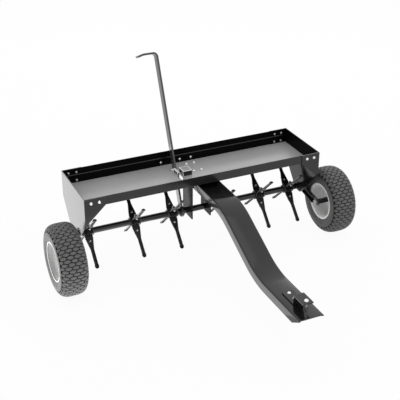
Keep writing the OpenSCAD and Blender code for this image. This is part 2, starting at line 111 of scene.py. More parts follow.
class Side(Enum):
    """Left and right hand of the machine, as seen from the drawbar's nose; the value is the sign of X."""

    LEFT = -1
    RIGHT = 1

    @property
    def word(self) -> str:
        """The side's name as the CAD nodes use it."""
        return self.name.lower()


# ---------------------------------------------------------------- shader node groups and finishes


class Graph:
    """A thin wrapper that adds and links nodes in a node tree."""

    def __init__(self, tree: NodeTree) -> None:
        """Wraps a tree and empties it."""
        self.tree = tree
        self.tree.nodes.clear()

    def add(self, kind: str, inputs: dict[str | int, object] | None = None, **values: object) -> Node:
        """Adds a node.

        Args:
            kind: The node's type name.
            inputs: What feeds its inputs, by name or number.
            values: Node properties, which are set before the inputs.

        Returns:
            The new node.
        """
        node = self.tree.nodes.new(kind)
        for key, value in values.items():
            setattr(node, key, value)
        for key, value in (inputs or {}).items():
            self.feed(node.inputs[key], value)
        return node

    def link(self, start: NodeSocket, end: NodeSocket) -> None:
        """Links an output socket to an input socket."""
        self.tree.links.new(start, end)

    def feed(self, socket: NodeSocket, value: object) -> None:
        """Gives an input socket its value.

        Args:
            socket: The input socket.
            value: A socket to link, a node for its first output, a constant, or None to leave the input alone.
        """
        if isinstance(value, (Node, NodeSocket)):
            self.link(value.outputs[0] if isinstance(value, Node) else value, socket)
        elif value is not None:
            socket.default_value = value

    def math(self, operation: str, first: object, second: object = None) -> NodeSocket:
        """Returns the result of a Math node on nodes, sockets or numbers."""
        return self.add("ShaderNodeMath", {0: first, 1: second}, operation=operation).outputs[0]

    def split(self, vector: Node | NodeSocket) -> Sockets:
        """Returns the X, Y and Z of a vector."""
        return self.add("ShaderNodeSeparateXYZ", {"Vector": vector}).outputs

    def noise(self, vector: NodeSocket, scale: NodeSocket, detail: float | None = None) -> NodeSocket:
        """Returns the value of a Noise Texture node."""
        return self.add("ShaderNodeTexNoise", {"Vector": vector, "Scale": scale, "Detail": detail}).outputs["Fac"]

    def blend(self, share: NodeSocket, first: object, second: object) -> NodeSocket:
        """Returns a mix of two colours or colour sockets, with the share of the second."""
        first, second = ((*value, 1.0) if isinstance(value, tuple) else value for value in (first, second))
        return self.add("ShaderNodeMix", {"Factor": share, 6: first, 7: second}, data_type="RGBA").outputs[2]

    def group(self, tree: NodeTree, inputs: dict[str, object]) -> Sockets:
        """Places a shader node group and returns its outputs."""
        return self.add("ShaderNodeGroup", inputs, node_tree=tree).outputs


def open_group(kind: str, name: str, inputs: dict[str, str | float],
               outputs: dict[str, str]) -> tuple[Graph, Sockets, Sockets]:
    """Makes a node group that has its sockets and no nodes between them.

    Args:
        kind: The tree's type name.
        name: The group's name.
        inputs: Names of the inputs, with a socket type or the default of a number.
        outputs: Names of the outputs, with their socket types.

    Returns:
        The group's graph, the sockets that its inputs come from and those that its outputs go to.
    """
    tree = bpy.data.node_groups.new(name, kind)
    for key, given in inputs.items():
        sort = given if isinstance(given, str) else "Float"
        socket = tree.interface.new_socket(key, in_out="INPUT", socket_type=f"NodeSocket{sort}")
        if not isinstance(given, str):
            socket.default_value = given
    for key, sort in outputs.items():
        tree.interface.new_socket(key, in_out="OUTPUT", socket_type=f"NodeSocket{sort}")
    g = Graph(tree)
    return g, g.add("NodeGroupInput").outputs, g.add("NodeGroupOutput").inputs


class ShaderKit:
    """The shader node groups that several finishes share."""

    patch_share: float = 0.75
    fine_detail: float = 3.0
    patch_detail: float = 4.0
    bevel_samples: int = 6
    edge_gain: float = 5.0
    break_lift: float = 0.5
    dust_detail: float = 6.0

    def __init__(self) -> None:
        """Builds each group once."""
        self.grain, self.edge, self.dust = self._grain(), self._edge(), self._dust()

    def _grain(self) -> NodeTree:
        """Builds the grain group: a slow change of tone, and a fine height for the bump.

        Returns:
            The group.
        """
        g, given, result = open_group("ShaderNodeTree", "fine_grain", {
            "Vector": "Vector", "Scale": 400.0, "Patch": 12.0}, {"Tone": "Float", "Height": "Float"})
        fine = g.noise(given["Vector"], given["Scale"], self.fine_detail)
        patch = g.noise(given["Vector"], given["Patch"], self.patch_detail)
        slow = g.math("MULTIPLY", patch, self.patch_share)
        quick = g.math("MULTIPLY", fine, 1.0 - self.patch_share)
        g.link(g.math("ADD", slow, quick), result["Tone"])
        g.link(fine, result["Height"])
        return g.tree

    def _edge(self) -> NodeTree:
        """Builds the edge wear and sheen group: a mask of 1 along sharp edges, broken by noise, for wear and painted
        highlights.

        Returns:
            The group.
        """
        g, given, result = open_group("ShaderNodeTree", "edge_wear", {
            "Vector": "Vector", "Radius": 0.002, "Break": 60.0}, {"Mask": "Float"})
        rounded = g.add("ShaderNodeBevel", {"Radius": given["Radius"]}, samples=self.bevel_samples)
        surface = g.add("ShaderNodeNewGeometry")
        dot = g.add("ShaderNodeVectorMath", {0: rounded, 1: surface.outputs["Normal"]}, operation="DOT_PRODUCT")
        turned = g.math("MULTIPLY", g.math("SUBTRACT", 1.0, dot.outputs["Value"]), self.edge_gain)
        speckle = g.math("ADD", g.noise(given["Vector"], given["Break"]), self.break_lift)
        g.link(g.math("MINIMUM", g.math("MULTIPLY", turned, speckle), 1.0), result["Mask"])
        return g.tree

    def _dust(self) -> NodeTree:
        """Builds the dust group: a cloudy mask that lies on faces that look up.

        Returns:
            The group.
        """
        g, given, result = open_group("ShaderNodeTree", "dust_film", {
            "Vector": "Vector", "Scale": 7.0, "Floor": 0.35}, {"Mask": "Float"})
        cloud = g.noise(given["Vector"], given["Scale"], self.dust_detail)
        normal = g.split(g.add("ShaderNodeNewGeometry").outputs["Normal"])
        upward = g.math("MAXIMUM", normal["Z"], given["Floor"])
        g.link(g.math("MULTIPLY", cloud, upward), result["Mask"])
        return g.tree


@dataclass(frozen=True)
class Finish:
    """A surface finish; colours are linear, sizes in metres and scales per metre."""

    name: str
    tone_low: Colour
    tone_high: Colour
    rough_low: float
    rough_high: float
    metallic: float = 0.0
    ior: float = 1.5
    coat: float = 0.0
    coat_rough: float = 0.1
    grain_scale: float = 500.0
    patch_scale: float = 9.0
    bump_depth: float = 0.00002
    bump_strength: float = 0.2
    # Edge colour lightens sharp edges: a painted highlight on the black paints, in part thin paint.
    edge_colour: Colour = (0.3, 0.3, 0.3)
    edge_share: float = 0.0
    edge_radius: float = 0.002
    dust_colour: Colour = (0.35, 0.34, 0.32)
    dust_share: float = 0.0

    def build(self, kit: ShaderKit) -> Material:
        """Builds the finish as a node material.

        Args:
            kit: The shared shader groups.

        Returns:
            The new material.
        """
        material = bpy.data.materials.new(self.name)
        material.use_nodes = True
        g = Graph(material.node_tree)
        place = g.add("ShaderNodeTexCoord").outputs["Object"]
        grain = g.group(kit.grain, {"Vector": place, "Scale": self.grain_scale, "Patch": self.patch_scale})
        colour = g.blend(grain["Tone"], self.tone_low, self.tone_high)
        if self.dust_share:
            dust = g.group(kit.dust, {"Vector": place})["Mask"]
            colour = g.blend(g.math("MULTIPLY", dust, self.dust_share), colour, self.dust_colour)
        # Lighter sharp edges: painted highlights on the black paints, in part thin paint on the edges.
        if self.edge_share:
            edge = g.group(kit.edge, {"Vector": place, "Radius": self.edge_radius})["Mask"]
            colour = g.blend(g.math("MULTIPLY", edge, self.edge_share), colour, self.edge_colour)
        low, high = GRAIN_SPAN
        rough = g.add("ShaderNodeMapRange", {
            "Value": grain["Tone"], "From Min": low, "From Max": high,
            "To Min": self.rough_low, "To Max": self.rough_high})
        bump = g.add("ShaderNodeBump", {
            "Strength": self.bump_strength, "Distance": self.bump_depth, "Height": grain["Height"]})
        shader = g.add("ShaderNodeBsdfPrincipled", {
            "Base Color": colour, "Roughness": rough, "Normal": bump, "Metallic": self.metallic, "IOR": self.ior,
            "Coat Weight": self.coat, "Coat Roughness": self.coat_rough})
        g.add("ShaderNodeOutputMaterial", {"Surface": shader})
        return material


# In the black, hanger and lever paints the lighter edge colour is a painted highlight along sharp edges, in part thin
# paint.
BLACK_PAINT = Finish("gloss_black_paint", (0.005, 0.005, 0.0055), (0.009, 0.009, 0.0095), 0.11, 0.19,
                     grain_scale=650.0, bump_depth=0.00003, bump_strength=0.12, edge_colour=(0.07, 0.07, 0.073),
                     edge_share=0.35, dust_share=0.01)
# The tray floor is the same black-painted sheet as the walls; its grey is a painted reflection of the studio light,
# with grain and dust on it.
FLOOR_PAINT = Finish("scuffed_tray_floor", (0.30, 0.30, 0.302), (0.37, 0.37, 0.372), 0.34, 0.48, grain_scale=900.0,
                     patch_scale=5.0, bump_depth=0.00004, dust_share=0.05)
# Near-black, barely reflecting copy of the black paint: painted shade on the inside of the rear wall and end panels
# and on the drawbar under the tray.
SHADE_PAINT = Finish("matt_black_paint", (0.002, 0.002, 0.002), (0.004, 0.004, 0.004), 0.3, 0.45, ior=1.12,
                    bump_strength=0.12)
# Pale guide rims: a painted highlight where the guides' edges catch light.
GUIDE_HIGHLIGHT = Finish("worn_guide_edge", (0.62, 0.62, 0.61), (0.78, 0.78, 0.77), 0.35, 0.5)
# The spoons' pale edge colour is a painted highlight: the shine along the rims of glossy black troughs.
SPOON_PAINT = Finish("spoon_black_paint", (0.006, 0.006, 0.0065), (0.012, 0.012, 0.013), 0.18, 0.3, ior=1.32,
                     edge_colour=(0.42, 0.42, 0.42), edge_share=0.85, edge_radius=0.0013)
HANGER_PAINT = Finish("hanger_black_paint", (0.006, 0.006, 0.0065), (0.012, 0.012, 0.013), 0.2, 0.34, ior=1.16,
                      edge_colour=(0.2, 0.2, 0.2), edge_share=0.6, edge_radius=0.0013)
# Grey guide tops: a painted reflection, like the tray floor.
GUIDE_PAINT = Finish("scuffed_guide_paint", (0.14, 0.14, 0.142), (0.20, 0.20, 0.202), 0.34, 0.48, grain_scale=900.0,
                     bump_depth=0.00004)
LEVER_PAINT = Finish("lever_black_paint", (0.022, 0.021, 0.019), (0.034, 0.032, 0.030), 0.2, 0.3, coat=0.5,
                     edge_colour=(0.16, 0.155, 0.15), edge_share=0.6)
ZINC_PLATE = Finish("bright_zinc_plate", (0.74, 0.75, 0.77), (0.90, 0.90, 0.90), 0.18, 0.34, metallic=1.0,
                    grain_scale=900.0, patch_scale=40.0, bump_strength=0.1, edge_colour=(0.95, 0.95, 0.95),
                    edge_share=0.3, edge_radius=0.001)
PALE_ZINC = Finish("pale_zinc_plate", (0.80, 0.80, 0.80), (0.92, 0.92, 0.92), 0.35, 0.5, metallic=0.4,
                   grain_scale=900.0, patch_scale=40.0, bump_strength=0.15)
DULL_ZINC = Finish("dull_zinc_plate", (0.34, 0.34, 0.35), (0.46, 0.46, 0.47), 0.3, 0.45, metallic=1.0,
                   grain_scale=900.0, patch_scale=40.0, bump_strength=0.15, edge_colour=(0.6, 0.6, 0.6),
                   edge_share=0.3, edge_radius=0.001)
BUSH_METAL = Finish("oiled_bush_metal", (0.06, 0.056, 0.05), (0.11, 0.10, 0.09), 0.35, 0.5, metallic=1.0,
                    grain_scale=1500.0, patch_scale=60.0, bump_strength=0.3)
# The rim's one enamel in three tones that paint its light: the disc darker as painted shade, the inner web lighter as
# painted light, the rolled lips near white as a painted highlight.
DISC_SHADE_ENAMEL = Finish("pale_grey_enamel", (0.22, 0.22, 0.22), (0.27, 0.27, 0.267), 0.35, 0.48,
                     grain_scale=700.0, bump_strength=0.12, dust_share=0.05)
WEB_LIGHT_ENAMEL = Finish("rim_web_enamel", (0.66, 0.66, 0.655), (0.76, 0.76, 0.752), 0.35, 0.48, grain_scale=700.0,
                    bump_strength=0.12, dust_share=0.05)
LIP_HIGHLIGHT_ENAMEL = Finish("rim_lip_enamel", (0.86, 0.86, 0.85), (0.94, 0.94, 0.93), 0.25, 0.38, coat=0.3,
                    grain_scale=700.0, bump_strength=0.12)
TYRE_RUBBER = Finish("tyre_lug_rubber", (0.075, 0.075, 0.075), (0.115, 0.115, 0.114), 0.5, 0.68, grain_scale=900.0,
                     patch_scale=16.0, bump_depth=0.0002, bump_strength=0.35, dust_share=0.04)
WALL_RUBBER = Finish("tyre_wall_rubber", (0.050, 0.050, 0.050), (0.072, 0.072, 0.071), 0.4, 0.55, grain_scale=900.0,
                     patch_scale=16.0, bump_depth=0.0002, bump_strength=0.3, dust_share=0.04)
# Near-black rubber between the lugs: painted shade in the grooves.
GROOVE_SHADE = Finish("tyre_groove_rubber", (0.006, 0.006, 0.006), (0.010, 0.010, 0.010), 0.65, 0.8,
                       grain_scale=900.0, patch_scale=16.0, bump_depth=0.0002, bump_strength=0.35)


class Paintbox:
    """Builds each finish once and hands out its material."""

    def __init__(self) -> None:
        """Starts with the shared groups and no materials."""
        self.kit = ShaderKit()
        self.made: dict[str, Material] = {}

    def get(self, finish: Finish) -> Material:
        """Returns the material of a finish, which is built at its first use."""
        return self.made.get(finish.name) or self.made.setdefault(finish.name, finish.build(self.kit))


# ---------------------------------------------------------------- mesh helpers


def add_object(name: str, data: ID) -> Object:
    """Makes an object and links it to the scene.

    Args:
        name: The object's name.
        data: Its mesh, curve, light or camera.

    Returns:
        The new object.
    """
    obj = bpy.data.objects.new(name, data)
    bpy.context.scene.collection.objects.link(obj)
    return obj


def discard(*patterns: Object) -> None:
    """Removes objects that only served as patterns."""
    for pattern in patterns:
        bpy.data.objects.remove(pattern)


@contextmanager
def edited(mesh: Mesh) -> Iterator[bmesh.types.BMesh]:
    """Opens a mesh for editing and writes it back.

    Args:
        mesh: The mesh to change.

    Yields:
        The mesh as a BMesh.
    """
    work = bmesh.new()
    work.from_mesh(mesh)
    yield work
    work.to_mesh(mesh)
    work.free()


def tidy_mesh(mesh: Mesh, smooth: float, flatten: bool = False) -> None:
    """Merges doubles, turns faces outwards and sets smooth shading.

    Args:
        mesh: The mesh to change.
        smooth: Edges sharper than this angle in degrees stay hard.
        flatten: Whether flat neighbouring faces are joined into one.
    """
    with edited(mesh) as work:
        bmesh.ops.remove_doubles(work, verts=work.verts, dist=MERGE_GAP)
        bmesh.ops.dissolve_degenerate(work, edges=work.edges, dist=SLIVER)
        if flatten:
            bmesh.ops.dissolve_limit(work, angle_limit=math.radians(COPLANAR_ANGLE), verts=work.verts,
                                     edges=work.edges)
        bmesh.ops.recalc_face_normals(work, faces=work.faces)
        for face in work.faces:
            face.smooth = True
    mesh.set_sharp_from_angle(angle=math.radians(smooth))


def soften(obj: Object, width: float) -> Object:
    """Rounds an object's sharp edges with a live Bevel modifier.

    Args:
        obj: The object to soften.
        width: Width of the rounding.

    Returns:
        The same object.
    """
    bevel = obj.modifiers.new(ROUNDING, "BEVEL")
    bevel.width, bevel.segments = width, ROUNDING_FACETS
    bevel.limit_method, bevel.angle_limit = "ANGLE", math.radians(SHARP_ANGLE)
    bevel.use_clamp_overlap = False
    bevel.harden_normals = True
    return obj


def centre_of(node: str) -> Vector:
    """Returns the middle of a CAD node's box."""
    low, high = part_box(node)
    return (low + high) / 2


def lip_y() -> float:
    """Returns the Y of the tray's front lip."""
    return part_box("tray_pan")[0].y


def arc(centre: Pair, radius: float, start: float, end: float, steps: int) -> list[Pair]:
    """Draws an arc from one angle in degrees to another in equal steps."""
    turns = (math.radians(start + (end - start) * k / steps) for k in range(steps + 1))
    return [(centre[0] + radius * math.cos(a), centre[1] + radius * math.sin(a)) for a in turns]


def quarter(steps: int) -> list[Pair]:
    """Returns the sine and cosine of the angles from 0 to 90 degrees in equal steps."""
    return [(math.sin(a), math.cos(a)) for a in (math.pi / 2 * k / steps for k in range(steps + 1))]


@dataclass
class MeshDraft:
    """Points and faces of a mesh that is being drawn up, with a material number for each face."""

    points: list[Point] = field(default_factory=list)
    faces: list[tuple[int, ...]] = field(default_factory=list)
    paints: list[int] = field(default_factory=list)

    def face(self, corners: Sequence[int], paint: int = 0) -> None:
        """Adds one face."""
        self.faces.append(tuple(corners))
        self.paints.append(paint)

    def loft(self, sections: Iterable[Sequence[Point]], paints: Sequence[int] = ()) -> list[range]:
        """Joins closed sections of equal length with quads, each to the next.

        Args:
            sections: The points of each section.
            paints: Material number of each stretch, or nothing for 0.

        Returns:
            The point numbers of each section.
        """
        rings = []
        for section in sections:
            self.points.extend(section)
            rings.append(range(len(self.points) - len(section), len(self.points)))
        for k, (first, second) in enumerate(zip(rings, rings[1:])):
            for i in range(len(first)):
                j = (i + 1) % len(first)
                self.face((first[i], first[j], second[j], second[i]), paints[k] if paints else 0)
        return rings

    def cap(self, *rings: Sequence[int]) -> None:
        """Closes sections with quads from their first half to their second.

        Args:
            rings: Point numbers of the sections.
        """
        for ring in rings:
            for i in range(len(ring) // 2 - 1):
                self.face((ring[i], ring[i + 1], ring[-2 - i], ring[-1 - i]))

    def lathe(self, profile: Iterable[Pair], steps: int, axis: Axis, centre: Point = (0.0, 0.0, 0.0),
              paints: Sequence[int] = ()) -> None:
        """Turns a profile about an axis.

        Args:
            profile: Radius and place along the axis, from one end to the other.
            steps: Facets around.
            axis: The axis to turn about.
            centre: A point on the axis.
            paints: Material number of each stretch of the profile, or nothing for 0.
        """
        def spot(radius: float, along: float, a: float) -> Point:
            """Returns the place of a point of the profile at an angle."""
            u, v = radius * math.cos(a), radius * math.sin(a)
            return tuple(c + s for c, s in zip(centre, (along, u, v) if axis is Axis.X else (u, v, along)))

        turns = [2 * math.pi * k / steps for k in range(steps)]
        self.loft([[spot(*pair, a) for a in turns] for pair in profile], paints)

    def make(self, name: str, *materials: Material, smooth: float = 35.0) -> Object:
        """Turns the draft into an object with merged points and outward faces.

        Args:
            name: The object's name.
            materials: Materials in the order of the draft's numbers.
            smooth: Edges sharper than this angle in degrees stay hard.

        Returns:
            The new object, at the origin.
        """
        mesh = bpy.data.meshes.new(name)
        mesh.from_pydata(self.points, [], self.faces)
        mesh.polygons.foreach_set("material_index", self.paints)
        tidy_mesh(mesh, smooth)
        for material in materials:
            mesh.materials.append(material)
        return add_object(name, mesh)


# ---------------------------------------------------------------- geometry node trees


class NodeMill:
    """Geometry Nodes trees for what repeats, and the step that turns their result into a plain mesh."""

    def __init__(self) -> None:
        """Builds both trees."""
        self.copies, self.tread = self._copies(), self._tread()

    @staticmethod
    def _open(name: str, inputs: dict[str, str | float]) -> tuple[Graph, Sockets, Sockets]:
        """Opens a tree that takes and gives a geometry."""
        return open_group("GeometryNodeTree", name, {"Geometry": "Geometry", **inputs}, {"Geometry": "Geometry"})

    @staticmethod
    def _close(g: Graph, given: Sockets, result: Sockets, made: Node) -> None:
        """Ends a tree in Realize Instances and Set Material."""
        solid = g.add("GeometryNodeRealizeInstances", {"Geometry": made})
        g.feed(result["Geometry"], g.add("GeometryNodeSetMaterial", {"Geometry": solid, "Material": given["Finish"]}))

    def _copies(self) -> NodeTree:
        """Builds the tree that sets a copy of one piece on each point, turned by the point's attribute.

        Returns:
            The tree.
        """
        g, given, result = self._open("copies_at_points", {"Piece": "Object", "Size": 1.0, "Finish": "Material"})
        piece = g.add("GeometryNodeObjectInfo", {"Object": given["Piece"]})
        turn = g.add("GeometryNodeInputNamedAttribute", {"Name": "turn"}, data_type="FLOAT_VECTOR")
        euler = g.add("FunctionNodeEulerToRotation", {"Euler": turn})
        copies = g.add("GeometryNodeInstanceOnPoints", {
            "Points": given["Geometry"], "Instance": piece.outputs["Geometry"], "Rotation": euler,
            "Scale": given["Size"]})
        self._close(g, given, result, copies)
        return g.tree

    def _tread(self) -> NodeTree:
        """Builds the tree that lays lugs in offset columns on a flat sheet and wraps it on the tyre's crown.

        Returns:
            The tree.
        """
        g, given, result = self._open("wrapped_tread", {
            "Crown": "Object", "Lug": "Object", "Columns": "Int", "Lugs Around": "Int", "Column Pitch": "Float",
            "Finish": "Material"})
        columns, around = given["Columns"], given["Lugs Around"]
        width = g.math("MULTIPLY", g.math("SUBTRACT", columns, 1.0), given["Column Pitch"])
        sheet = g.add("GeometryNodeMeshGrid", {
            "Size X": width, "Size Y": 0.0, "Vertices X": columns, "Vertices Y": around})
        index = g.add("GeometryNodeInputIndex")
        column = g.math("FLOOR", g.math("DIVIDE", g.math("ADD", index, 0.5), around))
        row = g.math("SUBTRACT", index, g.math("MULTIPLY", column, around))
        shift = g.math("MULTIPLY", g.math("MODULO", column, 2.0), 0.5)
        angle = g.math("MULTIPLY", g.math("ADD", row, shift), g.math("DIVIDE", 2 * math.pi, around))
        keep = g.add("GeometryNodeStoreNamedAttribute", {
            "Geometry": sheet, "Name": "angle", "Value": angle}, data_type="FLOAT", domain="POINT")
        lug = g.add("GeometryNodeObjectInfo", {"Object": given["Lug"]})
        copies = g.add("GeometryNodeInstanceOnPoints", {
            "Points": keep, "Instance": lug.outputs["Geometry"]})
        flat = g.add("GeometryNodeRealizeInstances", {"Geometry": copies})
        self._close(g, given, result, self._wrap(g, given["Crown"], flat))
        return g.tree

    @staticmethod
    def _wrap(g: Graph, crown: NodeSocket, flat: Node) -> Node:
        """Wraps flat lugs: X runs along the crown curve, Y around the wheel as an angle, Z outwards.

        Args:
            g: The tree's graph.
            crown: The crown's curve object.
            flat: The node with the flat lugs.

        Returns:
            The node with the wrapped lugs.
        """
        curve = g.add("GeometryNodeObjectInfo", {"Object": crown}).outputs["Geometry"]
        length = g.add("GeometryNodeCurveLength", {"Curve": curve})
        spot = g.split(g.add("GeometryNodeInputPosition"))
        reach = g.math("ADD", spot["X"], g.math("MULTIPLY", length, 0.5))
        sample = g.add("GeometryNodeSampleCurve", mode="LENGTH", use_all_curves=True,
                       inputs={"Curves": curve, "Length": reach})
        base, along = g.split(sample.outputs["Position"]), g.split(sample.outputs["Tangent"])
        across = g.math("SUBTRACT", base["X"], g.math("MULTIPLY", along["Z"], spot["Z"]))
        radius = g.math("ADD", base["Z"], g.math("MULTIPLY", along["X"], spot["Z"]))
        turn = g.add("GeometryNodeInputNamedAttribute", {"Name": "angle"}, data_type="FLOAT")
        angle = g.math("ADD", turn, spot["Y"])
        place = g.add("ShaderNodeCombineXYZ", {
            "X": across, "Y": g.math("MULTIPLY", radius, g.math("COSINE", angle)),
            "Z": g.math("MULTIPLY", radius, g.math("SINE", angle))})
        return g.add("GeometryNodeSetPosition", {"Geometry": flat, "Position": place})

    @staticmethod
    def run(obj: Object, tree: NodeTree, values: dict[str, object]) -> Object:
        """Runs a tree on an object and keeps the result as the object's plain mesh.

        Args:
            obj: The object whose mesh goes in.
            tree: The tree to run.
            values: Input values by their names.

        Returns:
            The same object with its new mesh and no modifier.
        """
        modifier = obj.modifiers.new(tree.name, "NODES")
        modifier.node_group = tree
        for item in tree.interface.items_tree:
            if item.in_out == "INPUT" and item.name in values:
                modifier[item.identifier] = values[item.name]
        bpy.context.view_layer.update()
        settled = bpy.data.meshes.new_from_object(obj.evaluated_get(bpy.context.evaluated_depsgraph_get()))
        obj.modifiers.remove(modifier)
        old, obj.data = obj.data, settled
        settled.name = obj.name
        bpy.data.meshes.remove(old)
        return obj

    def copies_at(self, name: str, piece: Object, spots: Sequence[tuple[Vector, Euler]], finish: Material) -> Object:
        """Sets copies of a piece on spots as one mesh.

        Args:
            name: Name of the new object.
            piece: The piece to copy.
            spots: Place and turn of each copy.
            finish: Material of the copies.

        Returns:
            The new object.
        """
        mesh = bpy.data.meshes.new(name)
        mesh.from_pydata([tuple(spot) for spot, _ in spots], [], [])
        turn = mesh.attributes.new("turn", "FLOAT_VECTOR", "POINT")
        turn.data.foreach_set("vector", [angle for _, euler in spots for angle in euler])
        return self.run(add_object(name, mesh), self.copies, {"Piece": piece, "Size": 1.0, "Finish": finish})


# ---------------------------------------------------------------- sub-assemblies


@dataclass
class SubAssembly:
    """A group of pieces that is built, dressed and set on its bodies together."""

    paints: Paintbox
    mill: NodeMill

    def settle(self, obj: Object, body: str, slot: Slot, *nodes: str) -> Object:
        """Sets a piece on its body in place of CAD nodes.

        Args:
            obj: The piece.
            body: The CAD body that it rides on.
            slot: The record's material slot; not used.
            nodes: The CAD nodes that it stands for.

        Returns:
            The same piece.
        """
        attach(obj, body)
        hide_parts(*nodes)
        LOG.info("%s: %d faces on %s", obj.name, len(obj.data.polygons), body)
        return obj

    def soft_node(self, node: str, body: str, width: float, finish: Finish = BLACK_PAINT,
                  slot: Slot = Slot.BLACK) -> Object:
        """Replaces a CAD node by a copy of itself as clean faces with rounded edges.

        Args:
            node: The CAD node.
            body: The CAD body that it rides on.
            width: Width of the rounding.
            finish: Finish of the copy.
            slot: The record's material slot.

        Returns:
            The copy.
        """
        name = f"{node}_finished"
        mesh = frame["nodes"][node].data.copy()
        mesh.name = name
        mesh.materials.clear()
        mesh.materials.append(self.paints.get(finish))
        tidy_mesh(mesh, SHARP_ANGLE, flatten=True)
        return self.settle(soften(add_object(name, mesh), width), body, slot, node)

    def paint_node(self, node: str, finish: Finish) -> None:
        """Gives a CAD node that stays its finish.

        Args:
            node: The CAD node.
            finish: Its finish.
        """
        for holder in frame["nodes"][node].material_slots:
            holder.material = self.paints.get(finish)
        LOG.info("%s: painted %s", node, finish.name)

    def add_paints(self, obj: Object, *finishes: Finish) -> range:
        """Adds finishes to a piece for some of its faces.

        Args:
            obj: The piece.
            finishes: The finishes.

        Returns:
            Their material numbers.
        """
        first = len(obj.data.materials)
        for finish in finishes:
            obj.data.materials.append(self.paints.get(finish))
        return range(first, len(obj.data.materials))

    def set_copies(self, name: str, pattern: Object, spots: Sequence[tuple[Vector, Euler]], finish: Finish,
                   body: str, slot: Slot, node: str) -> None:
        """Sets copies of a pattern on their body in place of a CAD node, and discards the pattern."""
        self.settle(self.mill.copies_at(name, pattern, spots, self.paints.get(finish)), body, slot, node)
        discard(pattern)


@dataclass
class Tray(SubAssembly):
    """The folded tray with its two end panels, the brace on its rear wall and the lever guides on its floor."""

    fold: float = 0.0009
    plate_edge: float = 0.0009
    guide_edge: float = 0.0014
    guide_rim: float = 0.003
    floor_z: float = 0.318
    floor_slack: float = 0.0005
    wall_y: float = 0.2
    level: float = 0.99
    facing: float = 0.9

    def dress_pan(self, pan: Object) -> None:
        """Gives the tray's floor its grey of painted reflection and the inside of the rear wall its near-black paint
        of painted shade.

        Args:
            pan: The folded sheet.
        """
        # The floor's grey is a painted reflection and the rear wall's near-black inside is painted shade.
        reflection_grey, matt = self.add_paints(pan, FLOOR_PAINT, SHADE_PAINT)
        rear = lip_y() + self.wall_y
        for face in pan.data.polygons:
            if face.normal.z > self.level and abs(face.center.z - self.floor_z) < self.floor_slack:
                face.material_index = reflection_grey
            elif face.normal.y < -self.facing and face.center.y > rear:
                face.material_index = matt

    def dress_panel(self, panel: Object, side: Side) -> None:
        """Splits an end panel at the tray's floor and gives its inside above the floor the near-black paint of
        painted shade.

        Args:
            panel: The end panel.
            side: The side that it closes.
        """
        # The inside above the floor is painted shade.
        matt, = self.add_paints(panel, SHADE_PAINT)
        with edited(panel.data) as work:
            bmesh.ops.bisect_plane(work, geom=[*work.verts, *work.edges, *work.faces],
                                   plane_co=(0, 0, self.floor_z), plane_no=(0, 0, 1))
            for face in work.faces:
                if face.normal.x * side.value < -self.facing and face.calc_center_median().z > self.floor_z:
                    face.material_index = matt

    def dress_guides(self, guides: Object) -> None:
        """Gives the lever guides pale rims of painted highlight and grey tops of painted reflection.

        Args:
            guides: Both guides.
        """
        # The pale rims are a painted highlight and the grey tops a painted reflection.
        pale, reflection_grey = self.add_paints(guides, GUIDE_HIGHLIGHT, GUIDE_PAINT)
        with edited(guides.data) as work:
            tops = [face for face in work.faces if face.normal.z > self.facing]
            rims = bmesh.ops.inset_region(work, faces=tops, thickness=self.guide_rim, use_even_offset=True)["faces"]
            for faces, paint in ((tops, reflection_grey), (rims, pale)):
                for face in faces:
                    face.material_index = paint
        guides.modifiers[ROUNDING].material = pale

    def build(self) -> None:
        """Builds and dresses the tray's sheets."""
        self.dress_pan(self.soft_node("tray_pan", "frame", self.fold))
        for side in Side:
            self.dress_panel(self.soft_node(f"{side.word}_end_panel", "frame", self.plate_edge), side)
        self.soft_node("rear_brace", "frame", self.plate_edge)
        self.dress_guides(self.soft_node("lever_guides", "frame", self.guide_edge))


